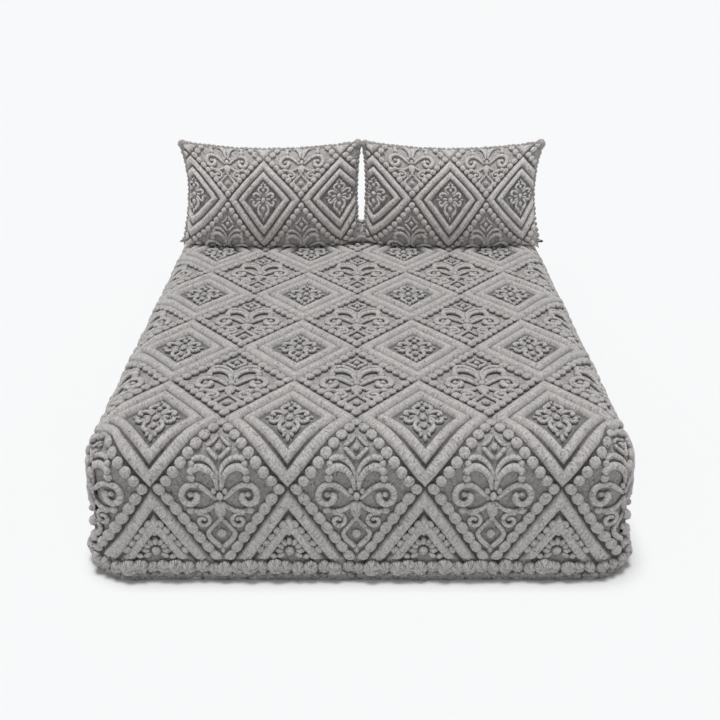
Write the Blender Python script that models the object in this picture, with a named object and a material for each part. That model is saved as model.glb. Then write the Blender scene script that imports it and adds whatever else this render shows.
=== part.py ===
"""A deep fitted sheet of carved plush on its mattress, with two upright pillows in the same cloth.

Metres, +Z up. The origin is on the floor under the middle of the bed; the foot of the bed faces -Y.
The cover is drawn on a flat cloth first, with each point's height over the ground as its third number,
and is then laid over the mattress by drape(). Its pattern is a lattice of diamonds: ridged diamonds with a
medallion boss stand in rows, and beaded diamonds fill the rows between them.
"""

import math

import bmesh
import bpy
from mathutils import Matrix, Vector

# The mattress and how the cloth lies on it
MATTRESS_WIDTH = 1.52
MATTRESS_LENGTH = 2.03
CLOTH = 0.006  # the ground cloth, without its pile
TOUCH = 0.0003  # between pieces that touch
CORD_GAP = 0.0008  # between cloth and the edging sewn round it
EDGE_CLEARANCE = 0.002  # between the cloth and the mattress's sides
GROUND_TOP = 0.440  # upper face of the ground cloth
CORNER_RADIUS = 0.105  # of the cloth's corners, and of its rounded top edge
WALL_FLARE = 0.06  # how far the sides stand out per metre of drop
FOLD_STEPS = 4  # facets in the rounded top edge; an even number
RIDGE_HEIGHT = 0.016
BEAD_HEIGHT = 0.013

# The lattice of diamonds: rows run along X, and row 0 lies near the foot of the bed
DIAMOND_WIDTH = 0.380
DIAMOND_LENGTH = 0.466
FIRST_ROW = -0.880
PATTERN_SHIFT = -0.010
PATTERN_END = 0.082  # height over the floor where the pattern gives way to the edging
FOOT_ROW = FIRST_ROW - DIAMOND_LENGTH / 2  # past this row the pattern is drawn out down the foot
FOOT_STRETCH = 1.2

# Half sizes of the cloth's outer face, and the arcs that it runs over
HALF_WIDTH = MATTRESS_WIDTH / 2 + EDGE_CLEARANCE + CLOTH
HALF_LENGTH = MATTRESS_LENGTH / 2 + EDGE_CLEARANCE + CLOTH
STRAIGHT_X = HALF_WIDTH - CORNER_RADIUS
STRAIGHT_Y = HALF_LENGTH - CORNER_RADIUS
FOLD_ARC = CORNER_RADIUS * math.pi / 2
SEAM_GAP = 0.0003
DART = FOLD_ARC / 2  # a flap's cloth between the straight side and the corner's seam
PATTERN_REACH = FOLD_ARC + GROUND_TOP - CORNER_RADIUS - PATTERN_END
PATTERN_SLOPE = 0.006
HEM_HEIGHT = 0.002  # the cloth's lower edge over the floor
HEM_REACH = FOLD_ARC + GROUND_TOP - CORNER_RADIUS - HEM_HEIGHT

# Profiles of a diamond from its outline inwards: distance from the outline, height over the ground
RIDGED = (
    (0.000, 0.000),
    (0.008, 0.93 * RIDGE_HEIGHT),
    (0.027, 0.93 * RIDGE_HEIGHT),
    (0.040, 0.15 * RIDGE_HEIGHT),
    (0.053, RIDGE_HEIGHT),
    (0.070, RIDGE_HEIGHT),
    (0.080, 0.000),
)
BOSS = ((0.092, 0.000), (0.104, 0.008))
BEADED = (
    (0.000, 0.000),
    (0.009, BEAD_HEIGHT),
    (0.026, BEAD_HEIGHT),
    (0.035, 0.000),
)

# The bobble edging round the hem
EDGING_HEIGHT = 0.074
EDGING_PITCH = 0.036
EDGING_PEAK = 0.025  # how far a bobble stands out from the cloth
EDGING_NECK = 0.015

# Pillows: sizes of the filled case, and how it stands
PILLOW_HALF_WIDTH = 0.371
PILLOW_HALF_HEIGHT = 0.197
PILLOW_THICKNESS = 0.105  # of the half in front of the seam, at its fullest
PILLOW_RIM = 0.004
PILLOW_OUTER_SIDE_IN = 0.036  # how far the sides and the top draw in between the corners
PILLOW_INNER_SIDE_IN = 0.014
PILLOW_TOP_IN = 0.031
PILLOW_OUTER_TOP_IN = 0.004  # how much narrower its outer side is at the top
PILLOW_LEAN = math.radians(16)
PILLOW_SETTLE = 0.13  # how far its front sinks onto the bed
PILLOW_DROOP = 0.88  # how closely its lower outer corner follows the bed's rounded edge
PILLOW_SPACING = 0.766  # between the two centres
PILLOW_SHIFT = 0.006  # of the pair from the bed's middle line
PILLOW_FOOT_Y = 0.622
PILLOW_DIAMOND_WIDTH = 0.337  # its pattern is woven smaller
PILLOW_DIAMOND_LENGTH = 0.376
PILLOW_PATTERN_SHIFT = 0.147
PILLOW_SAG = 0.125  # how far the case is drawn down over the filling, as a share of its half height
PILLOW_FADE = 0.03  # its relief flattens towards the seam, and under the pillow
PILLOW_LOW_FADE = 0.4
PILLOW_CORD = 0.0105  # how far a knot of its edging stands out from the seam
KNOTS_ACROSS = 24
KNOTS_UP = 15

PLUSH = (0.33, 0.32, 0.31)
PLUSH_DARK = (0.30, 0.29, 0.285)
TICKING = (0.75, 0.74, 0.72)


def clear_scene():
    for item in list(bpy.data.objects):
        bpy.data.objects.remove(item)


def material(name, colour, roughness):
    made = bpy.data.materials.new(name)
    made.use_nodes = True
    shader = made.node_tree.nodes["Principled BSDF"]
    shader.inputs["Base Color"].default_value = (*colour, 1.0)
    shader.inputs["Roughness"].default_value = roughness
    shader.inputs["Metallic"].default_value = 0.0
    return made


def add_object(name, bm, finish, smooth_angle=math.radians(35)):
    bmesh.ops.recalc_face_normals(bm, faces=bm.faces)
    mesh = bpy.data.meshes.new(name)
    bm.to_mesh(mesh)
    bm.free()
    mesh.materials.append(finish)
    mesh.shade_smooth()
    mesh.set_sharp_from_angle(angle=smooth_angle)
    made = bpy.data.objects.new(name, mesh)
    bpy.context.scene.collection.objects.link(made)
    return made


# Laying the flat cloth over the bed


def section(reach, rise):
    """Across the bed's edge: how far out and how high a point lies after that much cloth."""
    turn = min(reach / CORNER_RADIUS, math.pi / 2)
    drop = max(reach - FOLD_ARC, 0.0)
    out = CORNER_RADIUS * math.sin(turn) + WALL_FLARE * drop
    down = CORNER_RADIUS * (1 - math.cos(turn)) + drop
    return out + rise * math.sin(turn), GROUND_TOP - down + rise * math.cos(turn)


def drape(point):
    """The place on the bed of a point of the flat cloth, whose z is its height over the ground."""
    over_x = max(abs(point.x) - STRAIGHT_X, 0.0)
    over_y = max(abs(point.y) - STRAIGHT_Y, 0.0)
    reach = max(over_x, over_y)
    out, z = section(reach, point.z)
    turn = 0.0
    if reach > 0:
        turn = math.pi / 4 * min(over_x, over_y) / min(reach, DART)
    along, across = math.cos(turn), math.sin(turn)
    if over_y >= over_x:
        along, across = across, along
    x = min(abs(point.x), STRAIGHT_X) + out * along
    y = min(abs(point.y), STRAIGHT_Y) + out * across
    return Vector((math.copysign(x, point.x), math.copysign(y, point.y), z))


# The flat cloth and its relief


def add_diamond(bm, centre, half_width, half_length, profile):
    """One diamond of the lattice as rings of four corners, from its outline inwards."""
    inradius = half_width * half_length / math.hypot(half_width, half_length)
    outer = None
    for inset, rise in profile:
        share = 1 - inset / inradius
        corners = [
            bm.verts.new((centre[0] + x * half_width * share, centre[1] + y * half_length * share, rise))
            for x, y in ((1, 0), (0, 1), (-1, 0), (0, -1))
        ]
        if outer:
            for i in range(4):
                bm.faces.new((outer[i - 1], outer[i], corners[i], corners[i - 1]))
        outer = corners
    bm.faces.new(outer)


def add_lattice(bm, reach_x, reach_y, width, length, shift=(0.0, 0.0)):
    """Fills a rectangle of flat cloth with whole diamonds; the cut to size comes afterwards."""
    columns = math.ceil(reach_x / (width / 2)) + 2
    rows = math.ceil(reach_y / (length / 2)) + 4
    for row in range(-rows, rows + 1):
        for column in range(-columns, columns + 1):
            if (row + column) % 2 == 0:
                continue
            centre = (shift[0] + column * width / 2, shift[1] + row * length / 2)
            if abs(centre[0]) > reach_x + width / 2 or abs(centre[1]) > reach_y + length / 2:
                continue
            scale = width / DIAMOND_WIDTH
            plain = RIDGED + BOSS if row % 2 == 0 else BEADED
            profile = [(inset * scale, rise * scale) for inset, rise in plain]
            add_diamond(bm, centre, width / 2, length / 2, profile)
    bmesh.ops.remove_doubles(bm, verts=bm.verts, dist=1e-5)


def cut(bm, axis, place, clear=False):
    """Cuts the flat cloth along a line of x or y, and drops what lies beyond it if clear is set."""
    normal = Vector((0, 0, 0))
    normal[axis] = math.copysign(1, place)
    point = Vector((0, 0, 0))
    point[axis] = place
    bmesh.ops.bisect_plane(
        bm,
        geom=[*bm.verts, *bm.edges, *bm.faces],
        dist=1e-6,
        plane_co=point,
        plane_no=normal,
        clear_outer=clear,
    )


def fold_lines():
    """Distances past the straight part where the cloth is creased; the middle one is the darts' edge."""
    lines = [FOLD_ARC * i / FOLD_STEPS for i in range(FOLD_STEPS + 1)]
    lines[FOLD_STEPS // 2] -= SEAM_GAP
    return lines


def corner_lines():
    """Distances past the straight part where a flap is creased to go round the bed's corner."""
    return fold_lines()[: FOLD_STEPS // 2 + 1]


def draw_out_foot(bm):
    """Lengthens the half diamonds below the last whole row at the foot."""
    for vertex in bm.verts:
        if vertex.co.y < FOOT_ROW:
            vertex.co.y = FOOT_ROW + FOOT_STRETCH * (vertex.co.y - FOOT_ROW)


def crease(bm):
    """Cuts the lattice where the cloth folds, ends or gives way to the edging."""
    for axis, straight in ((0, STRAIGHT_X), (1, STRAIGHT_Y)):
        for side in (-1, 1):
            cut(bm, axis, side * (straight + HEM_REACH), clear=True)
            for over in (*fold_lines(), PATTERN_REACH, PATTERN_REACH + PATTERN_SLOPE):
                cut(bm, axis, side * (straight + over))


def cut_darts(bm):
    """Takes out the four corner squares, which leaves a cross of cloth."""
    dart = corner_lines()[-1]
    spare = []
    for face in bm.faces:
        centre = face.calc_center_median()
        if abs(centre.x) > STRAIGHT_X + dart and abs(centre.y) > STRAIGHT_Y + dart:
            spare.append(face)
    bmesh.ops.delete(bm, geom=spare, context="FACES")


def reach_of(point):
    return max(abs(point.x) - STRAIGHT_X, abs(point.y) - STRAIGHT_Y)


def same_line(edge, axis, straight, lines):
    """Whether an edge runs along one of the lines at these distances past the straight part."""
    first, second = (abs(v.co[axis]) - straight for v in edge.verts)
    return abs(first - second) < 1e-5 and any(abs(first - line) < 1e-5 for line in lines)


def plain_hem(bm):
    """Flattens the cloth under the edging and joins its faces, apart from the creases round the corners."""
    end = PATTERN_REACH + PATTERN_SLOPE
    for vertex in bm.verts:
        if reach_of(vertex.co) > end - 1e-5:
            vertex.co.z = 0.0
    spare = []
    for edge in bm.edges:
        if edge.is_boundary or min(reach_of(v.co) for v in edge.verts) < end - 1e-5:
            continue
        stays = False
        for axis, straight in ((0, STRAIGHT_X), (1, STRAIGHT_Y)):
            stays = stays or same_line(edge, axis, straight, [*corner_lines(), end])
        if not stays:
            spare.append(edge)
    bmesh.ops.dissolve_edges(bm, edges=spare, use_verts=True)


def add_cells(bm, lines_x, lines_y, rim, rise, keep=lambda centre: True):
    """A sheet of large cells between these lines, which takes up every point of the given rim."""
    made = {}

    def vertex(point):
        key = (round(point.x, 5), round(point.y, 5))
        if key not in made:
            made[key] = bm.verts.new((point.x, point.y, rise))
        return made[key]

    def side(start, end):
        """The points from one corner of a cell up to the next."""
        span = end - start
        inside = []
        for point in rim:
            share = (point - start).dot(span) / span.length_squared
            if (point - start - share * span).length < 1e-5 and 1e-4 < share < 1 - 1e-4:
                inside.append((share, point))
        return [start, *(point for share, point in sorted(inside, key=lambda item: item[0]))]

    for x0, x1 in zip(lines_x, lines_x[1:]):
        for y0, y1 in zip(lines_y, lines_y[1:]):
            if not keep(((x0 + x1) / 2, (y0 + y1) / 2)):
                continue
            corners = [Vector(c) for c in ((x0, y0), (x1, y0), (x1, y1), (x0, y1))]
            loop = []
            for i in range(4):
                loop.extend(side(corners[i], corners[(i + 1) % 4]))
            bm.faces.new([vertex(point) for point in loop])


def add_lining(bm):
    """The cloth's inner face, in large cells between the creases."""
    rim = [Vector((v.co.x, v.co.y)) for v in bm.verts if v.is_boundary]
    overs = [*fold_lines(), HEM_REACH]
    lines_x = sorted(side * (STRAIGHT_X + over) for side in (-1, 1) for over in overs)
    lines_y = sorted(side * (STRAIGHT_Y + over) for side in (-1, 1) for over in overs)
    dart = corner_lines()[-1]

    def on_cloth(centre):
        return abs(centre[0]) < STRAIGHT_X + dart or abs(centre[1]) < STRAIGHT_Y + dart

    before = set(bm.verts)
    add_cells(bm, lines_x, lines_y, rim, -CLOTH, on_cloth)
    return [v for v in bm.verts if v not in before]


def close_rim(bm, outer_rim, inner_rim):
    """Walls the edge: each rim edge of the outer face with the one under it."""

    def key(vertex):
        return round(vertex.co.x, 5), round(vertex.co.y, 5)

    below = {key(v): v for v in inner_rim}
    for edge in outer_rim:
        a, b = edge.verts
        bm.faces.new((a, b, below[key(b)], below[key(a)]))


def build_sheet(finish):
    bm = bmesh.new()
    reach_x = STRAIGHT_X + HEM_REACH
    reach_y = STRAIGHT_Y + HEM_REACH
    add_lattice(bm, reach_x, reach_y, DIAMOND_WIDTH, DIAMOND_LENGTH, (PATTERN_SHIFT, FIRST_ROW))
    draw_out_foot(bm)
    crease(bm)
    cut_darts(bm)
    plain_hem(bm)
    outer_rim = [e for e in bm.edges if e.is_boundary]
    close_rim(bm, outer_rim, add_lining(bm))
    bmesh.ops.triangulate(bm, faces=[f for f in bm.faces if len(f.verts) > 4])
    for vertex in bm.verts:
        vertex.co = drape(vertex.co)
    bmesh.ops.triangulate(bm, faces=bm.faces)
    return add_object("fitted_sheet", bm, finish)


def build_mattress(finish):
    """A plain block with soft edges that just clears the cloth."""
    bm = bmesh.new()
    height = GROUND_TOP - CLOTH - TOUCH
    soft_edge = 1.14 * CORNER_RADIUS
    corner = 1.2 * CORNER_RADIUS
    steps = 6
    rings = []
    profile = [(0.0, 0.0)]
    for i in range(steps + 1):
        angle = math.pi / 2 * i / steps
        profile.append((soft_edge * (1 - math.cos(angle)), height - soft_edge * (1 - math.sin(angle))))
    for inset, z in profile:
        ring = []
        for quarter in range(4):
            for i in range(steps + 1):
                angle = math.pi / 2 * (quarter + i / steps)
                x = math.copysign(MATTRESS_WIDTH / 2 - corner, math.cos(math.pi / 4 + math.pi / 2 * quarter))
                y = math.copysign(MATTRESS_LENGTH / 2 - corner, math.sin(math.pi / 4 + math.pi / 2 * quarter))
                radius = corner - inset
                ring.append(bm.verts.new((x + radius * math.cos(angle), y + radius * math.sin(angle), z)))
        rings.append(ring)
    for low, high in zip(rings, rings[1:]):
        for i in range(len(low)):
            bm.faces.new((low[i - 1], low[i], high[i], high[i - 1]))
    bm.faces.new(rings[0][::-1])
    bm.faces.new(rings[-1])
    return add_object("mattress", bm, finish)


def perimeter_point(distance, half_x, half_y, radius):
    """A point and outward direction on a rounded rectangle, starting at the middle of its foot side."""
    straight_x, straight_y = half_x - radius, half_y - radius
    quarter = radius * math.pi / 2
    runs = (straight_x, quarter, 2 * straight_y, quarter, 2 * straight_x, quarter, 2 * straight_y, quarter, straight_x)
    heading = -math.pi / 2
    centres = ((1, -1), (1, 1), (-1, 1), (-1, -1))
    left = distance % sum(runs)
    for i, run in enumerate(runs):
        if left <= run or i == len(runs) - 1:
            break
        left -= run
    out = Vector((math.cos(heading + (i // 2) * math.pi / 2), math.sin(heading + (i // 2) * math.pi / 2), 0))
    if i % 2:
        cx, cy = centres[i // 2]
        angle = heading + (i // 2) * math.pi / 2 + left / radius
        out = Vector((math.cos(angle), math.sin(angle), 0))
        return Vector((cx * straight_x, cy * straight_y, 0)) + radius * out, out
    starts = ((0, -half_y), (half_x, -straight_y), (straight_x, half_y), (-half_x, straight_y), (-straight_x, -half_y))
    along = Vector((-out.y, out.x, 0))
    return Vector((*starts[i // 2], 0)) + left * along, out


def build_edging(finish):
    """The bobble band sewn round the hem: a scalloped ring that stands on the floor outside the cloth."""
    bm = bmesh.new()
    flare = WALL_FLARE * (GROUND_TOP - CORNER_RADIUS)
    radius = CORNER_RADIUS + flare
    girth = 4 * (STRAIGHT_X + STRAIGHT_Y) + 2 * math.pi * radius
    bobbles = 4 * round(girth / EDGING_PITCH / 4)
    lean = WALL_FLARE * EDGING_HEIGHT
    rings = []
    for i in range(2 * bobbles):
        foot, out = perimeter_point(girth * i / (2 * bobbles), HALF_WIDTH + flare, HALF_LENGTH + flare, radius)
        depth = EDGING_PEAK if i % 2 else EDGING_NECK
        profile = ((CORD_GAP, 0.0), (depth, 0.55 * EDGING_HEIGHT), (CORD_GAP - lean, EDGING_HEIGHT))
        rings.append([bm.verts.new(foot + stand * out + Vector((0, 0, z))) for stand, z in profile])
    for i, ring in enumerate(rings):
        before = rings[i - 1]
        for k in range(3):
            bm.faces.new((before[k - 1], before[k], ring[k], ring[k - 1]))
    return add_object("hem_edging", bm, finish)


# Pillows: x across, z up and -y towards the foot of the bed, about the middle of the pillow. inner is the
# side that faces the other pillow: 1 if that is towards +x, otherwise -1.


def pillow_outline(across, up, inner):
    """Where the seam's plane puts a point of the flat case, each from -1 to 1."""
    side_in = PILLOW_INNER_SIDE_IN * (1 - up * up)
    if across * inner < 0:
        side_in = PILLOW_OUTER_SIDE_IN * (1 - up * up) + PILLOW_OUTER_TOP_IN * (1 + up) / 2
    drawn = PILLOW_TOP_IN * (1 - across * across) if up > 0 else 0.0
    return across * (PILLOW_HALF_WIDTH - side_in), up * (PILLOW_HALF_HEIGHT - drawn)


def pillow_crown(across, up):
    """The filling's fullness, from 0 at the seam to 1 at the middle, fuller low down."""
    return (1 - 0.3 * up) * max((1 - across**2) * (1 - up**2), 0.0) ** 0.5


def pillow_point(across, up, rise, side, inner):
    """side is 1 for the front panel and -1 for the back; rise is the relief's height over the case."""
    x, z = pillow_outline(across, up, inner)
    y = PILLOW_RIM + PILLOW_THICKNESS * pillow_crown(across, up)
    fade = min(1.0, (1 - max(abs(across), abs(up))) / PILLOW_FADE, (1 + up) / PILLOW_LOW_FADE)
    return Vector((x, -side * (y + rise * fade), z))


def pillow_place(centre_x):
    """Stands the pillow on its knotted edging on the cover's ridges, leaning back."""
    foot = GROUND_TOP + RIDGE_HEIGHT + TOUCH
    lean = Matrix.Rotation(-PILLOW_LEAN, 4, "X")
    lift = Matrix.Translation((0, 0, PILLOW_HALF_HEIGHT + 1.35 * PILLOW_CORD))
    return Matrix.Translation((centre_x, PILLOW_FOOT_Y, foot)) @ lean @ lift


def settle(point, across, up):
    """Lets the full lower front of a standing pillow sink until it lies on the bed."""
    sunk = PILLOW_SETTLE * pillow_crown(across, up) * ((1 - up) / 2) ** 4
    return Vector((point.x, point.y, max(point.z - sunk, GROUND_TOP + RIDGE_HEIGHT + TOUCH)))


def droop(point, up):
    """Lets a standing pillow's lower outer corner hang over the bed's rounded edge."""
    radius = CORNER_RADIUS + RIDGE_HEIGHT
    past = max(abs(point.x) - STRAIGHT_X, 0.0)
    fall = radius - math.sqrt(radius**2 - past**2)
    return point - Vector((0, 0, PILLOW_DROOP * fall * ((1 - up) / 2) ** 2))


def pillow_panel_size():
    """Half sizes of the flat case; filling draws it in to the outline above."""
    return 1.05 * PILLOW_HALF_WIDTH, 1.2 * PILLOW_HALF_HEIGHT


def cross_cuts(half):
    """Where a panel is creased to follow the crown, closer together near the seam."""
    return [half * math.sin(math.pi / 2 * i / 5) for i in range(-4, 5)]


def build_pillow(name, centre_x, finish):
    half_a, half_b = pillow_panel_size()
    inner = -math.copysign(1, centre_x)
    place = pillow_place(centre_x)
    bm = bmesh.new()
    add_lattice(
        bm, half_a, half_b, PILLOW_DIAMOND_WIDTH, PILLOW_DIAMOND_LENGTH, (PILLOW_PATTERN_SHIFT, 0.0)
    )
    for axis, half in enumerate((half_a, half_b)):
        for side in (-1, 1):
            cut(bm, axis, side * half, clear=True)
        for line in cross_cuts(half):
            cut(bm, axis, line)
    front_rim = [e for e in bm.edges if e.is_boundary]
    rim = [Vector((v.co.x, v.co.y)) for v in bm.verts if v.is_boundary]
    front = set(bm.verts)
    lines_a = [-half_a, *cross_cuts(half_a)[::2], half_a]
    lines_b = [-half_b, *cross_cuts(half_b)[::2], half_b]
    add_cells(bm, lines_a, lines_b, rim, 0.0)
    back = [v for v in bm.verts if v not in front]
    close_rim(bm, front_rim, [v for v in back if v.is_boundary])
    bmesh.ops.triangulate(bm, faces=bm.faces)
    for panel, side in ((front, 1), (back, -1)):
        for vertex in panel:
            across, up = vertex.co.x / half_a, vertex.co.y / half_b
            up -= PILLOW_SAG * (1 - up * up) * (1 - across**4)
            vertex.co = place @ pillow_point(across, up, vertex.co.z, side, inner)
            if side > 0:
                vertex.co = settle(vertex.co, across, up)
            vertex.co = droop(vertex.co, up)
    return add_object(name, bm, finish)


def build_pillow_edging(name, centre_x, finish):
    """The knotted cord round a pillow's seam: thick and thin by turns, closed in a ring."""
    bm = bmesh.new()
    inner = -math.copysign(1, centre_x)
    path = []
    corners = ((-1, -1), (1, -1), (1, 1), (-1, 1))
    for i, knots in enumerate((KNOTS_ACROSS, KNOTS_UP) * 2):
        start, end = Vector(corners[i]), Vector(corners[(i + 1) % 4])
        for k in range(2 * knots):
            across, up = start.lerp(end, k / (2 * knots))
            path.append((Vector(pillow_outline(across, up, inner)), up))
    rings = []
    for i, (point, up) in enumerate(path):
        low = max(0.0, -up - 0.8) / 0.2
        along = (path[(i + 1) % len(path)][0] - path[i - 1][0]).normalized()
        out = Vector((along.y, -along.x))
        thick = 0.68 * PILLOW_CORD if i % 2 else PILLOW_CORD
        ring = []
        for stand, depth in ((0, -1), (1, 0), (0, 1)):
            # a little more room low down, where the case hangs in a finer curve than the cord
            place = point + out * (CORD_GAP * (1.5 - 0.5 * up) + stand * thick)
            # under the pillow the cord lies behind the seam
            back = depth * thick + low * (thick - PILLOW_RIM / 2)
            ring.append(bm.verts.new(droop(pillow_place(centre_x) @ Vector((place.x, back, place.y)), up)))
        rings.append(ring)
    for i, ring in enumerate(rings):
        before = rings[i - 1]
        for k in range(3):
            bm.faces.new((before[k - 1], before[k], ring[k], ring[k - 1]))
    return add_object(name, bm, finish)


def main():
    clear_scene()
    plush = material("plush", PLUSH, 0.95)
    pile = material("edging_plush", PLUSH_DARK, 0.95)
    ticking = material("mattress_ticking", TICKING, 0.8)
    build_mattress(ticking)
    build_sheet(plush)
    build_edging(pile)
    for name, side in (("pillow_left", -1), ("pillow_right", 1)):
        centre_x = PILLOW_SHIFT + side * PILLOW_SPACING / 2
        build_pillow(name, centre_x, plush)
        build_pillow_edging(name + "_edging", centre_x, pile)


main()
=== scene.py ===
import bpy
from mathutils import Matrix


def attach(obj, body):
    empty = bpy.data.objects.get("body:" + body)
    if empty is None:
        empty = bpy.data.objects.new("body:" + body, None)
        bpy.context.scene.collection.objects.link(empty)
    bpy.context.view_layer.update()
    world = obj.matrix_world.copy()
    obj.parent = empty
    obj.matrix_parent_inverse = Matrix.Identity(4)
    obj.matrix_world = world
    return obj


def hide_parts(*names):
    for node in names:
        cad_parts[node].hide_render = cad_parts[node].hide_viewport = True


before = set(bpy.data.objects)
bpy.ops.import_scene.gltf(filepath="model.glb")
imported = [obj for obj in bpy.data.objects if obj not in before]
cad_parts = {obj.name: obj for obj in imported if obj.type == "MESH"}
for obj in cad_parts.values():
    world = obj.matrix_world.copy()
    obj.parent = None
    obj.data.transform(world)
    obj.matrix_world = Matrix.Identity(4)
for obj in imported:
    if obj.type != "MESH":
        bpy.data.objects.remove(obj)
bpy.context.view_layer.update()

import math
import random

import bmesh
import bpy
from mathutils import Matrix, Vector, noise

noise.seed_set(4)  # otherwise Blender's vector noise starts from the clock, and each run differs

# %% [markdown]
# The bedding is one cloth with thick tufted ornament: a deep fitted sheet, and two pillow cases to match.
# Such cloth is designed flat, on a lattice of diamonds, and only then is it laid over the bed. The scene
# works in the same order. These are the bed's sizes in metres and the lattice's, and the sizes of the two
# pillows.

# %% Sizes of the bed, the lattice and the pillows
MATTRESS_WIDTH, MATTRESS_LENGTH = 1.52, 2.03
CLOTH = 0.006
TOUCH = 0.0003  # between pieces that touch
GROUND_TOP = 0.440  # the upper face of the cloth, without its relief
FOLD_RADIUS = 0.105  # of the rounded top edge and of the corners
FLARE = 0.06  # how far the sides stand out per metre of drop
RIDGE = 0.016
HALF_WIDTH, HALF_LENGTH = 0.768, 1.023
STRAIGHT_X, STRAIGHT_Y = HALF_WIDTH - FOLD_RADIUS, HALF_LENGTH - FOLD_RADIUS
FOLD = FOLD_RADIUS * math.pi / 2  # length of cloth in the rounded top edge
DART = FOLD / 2  # cloth between a flap's straight part and the sewn corner
PATTERN_END, HEM_HEIGHT = 0.082, 0.002  # over the floor
PATTERN_REACH = FOLD + GROUND_TOP - FOLD_RADIUS - PATTERN_END
HEM_REACH = FOLD + GROUND_TOP - FOLD_RADIUS - HEM_HEIGHT

WIDTH, LENGTH = 0.380, 0.466  # of one diamond
SIDE = math.hypot(WIDTH, LENGTH) / 2
INRADIUS = WIDTH * LENGTH / 4 / SIDE
SHIFT, FIRST_ROW = -0.010, -0.880
FOOT_ROW = FIRST_ROW - LENGTH / 2  # past this row the pattern is drawn out down the foot
FOOT_STRETCH = 1.2

PILLOW_WIDTH, PILLOW_LENGTH = 0.337, 0.376  # of one diamond, woven smaller
PILLOW_SHIFT, PILLOW_SAG = 0.147, 0.125
PILLOW_SCALE = (PILLOW_WIDTH / WIDTH, PILLOW_LENGTH / LENGTH, 0.82)
PILLOW_X, PILLOW_Y = 0.371, 0.197  # half sizes
PILLOW_DEEP, PILLOW_RIM = 0.105, 0.004
PILLOW_LEAN = math.radians(16)
PILLOW_FOOT_Y = 0.622
PILLOW_CORD = 0.0105  # how far the knotted edging stands out from the seam
PILLOWS = (("left", -0.377), ("right", 0.389))  # the middle of each, across the bed
print(f"a diamond's side is {SIDE:.3f} m, and its sides lie {INRADIUS:.3f} m from the middle")

# %% [markdown]
# Laying the cloth over the bed could be left to a cloth simulation, but that would crush the tufted
# relief, and a fitted sheet is held taut in any case. So each point of the flat cloth is rolled over the
# rounded edge by its distance past the straight part, and each flap turns an eighth of a circle at the
# corner, where it meets the next flap in a sewn seam. The third number of a flat point is its height over
# the ground cloth, so beads and scrolls are laid in the same way as the cloth under them. A slow noise
# makes the whole lot a little uneven, as such cloth is.

# %% A helper that lays the flat cloth over the bed


def uneven(point):
    """The flat point, moved a millimetre or two as soft cloth is."""
    drift = noise.noise_vector(Vector((point.x * 16, point.y * 16, 0.3)))
    fine = noise.noise_vector(Vector((point.x * 55, point.y * 55, 2.7)))
    flat = Vector((point.x, point.y, 0)) + 0.0016 * drift + 0.0009 * fine
    swell = 1 + 0.10 * noise.noise(Vector((point.x * 28, point.y * 28, 5.1)))
    return Vector((flat.x, flat.y, point.z * min(swell, 1.06)))


def drape(point):
    over_x = max(abs(point.x) - STRAIGHT_X, 0.0)
    over_y = max(abs(point.y) - STRAIGHT_Y, 0.0)
    reach = max(over_x, over_y)
    roll = min(reach / FOLD_RADIUS, math.pi / 2)
    drop = max(reach - FOLD, 0.0)
    out = (FOLD_RADIUS + point.z) * math.sin(roll) + FLARE * drop
    z = GROUND_TOP - FOLD_RADIUS * (1 - math.cos(roll)) - drop + point.z * math.cos(roll)
    turn = 0.0
    if reach > 0:
        turn = min(math.pi / 4, math.pi / 4 * min(over_x, over_y) / min(reach, DART))
    along, across = math.cos(turn), math.sin(turn)
    if over_y >= over_x:
        along, across = across, along
    x = min(abs(point.x), STRAIGHT_X) + out * along
    y = min(abs(point.y), STRAIGHT_Y) + out * across
    return Vector((math.copysign(x, point.x), math.copysign(y, point.y), z))


for name, spot in (("middle", (0, 0, 0)), ("foot, at the hem", (0, -STRAIGHT_Y - HEM_REACH, 0))):
    print(name, "of the cloth lands at", tuple(round(c, 3) for c in drape(Vector(spot))))

# %% [markdown]
# The pillow cases are flat panels too. Filling draws their sides in between the corners and crowns the
# middle. A point of the panel is given from -1 to 1 across and up, and its relief stands square to the
# crowned surface. The pillow leans back on the bed, and its full lower front sinks until it lies on the
# cover.

# %% A helper that fills a pillow's flat panel


def crown(across, up):
    return (1 - 0.3 * up) * max((1 - across**2) * (1 - up**2), 0.0) ** 0.5


def seam_line(across, up, inner):
    """Where the seam's plane holds a point; inner is 1 or -1, the side that faces the other pillow."""
    side_in = 0.014 * (1 - up * up)
    if across * inner < 0:
        side_in = 0.036 * (1 - up * up) + 0.004 * (1 + up) / 2
    drawn = 0.031 * (1 - across * across) if up > 0 else 0.0
    return across * (PILLOW_X - side_in), up * (PILLOW_Y - drawn)


def pillow_place(centre_x):
    foot = GROUND_TOP + RIDGE + TOUCH
    lift = Matrix.Translation((0, 0, PILLOW_Y + 1.35 * PILLOW_CORD))
    stood = Matrix.Translation((centre_x, PILLOW_FOOT_Y, foot))
    return stood @ Matrix.Rotation(-PILLOW_LEAN, 4, "X") @ lift


def droop(point, up):
    """Lets a lower outer corner hang over the bed's rounded edge."""
    radius = FOLD_RADIUS + RIDGE
    past = min(max(abs(point.x) - STRAIGHT_X, 0.0), 0.95 * radius)
    fall = radius - math.sqrt(radius**2 - past**2)
    return point - Vector((0, 0, 0.88 * fall * ((1 - up) / 2) ** 2))


PANEL_X, PANEL_Y = 1.05 * PILLOW_X, 1.2 * PILLOW_Y


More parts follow.
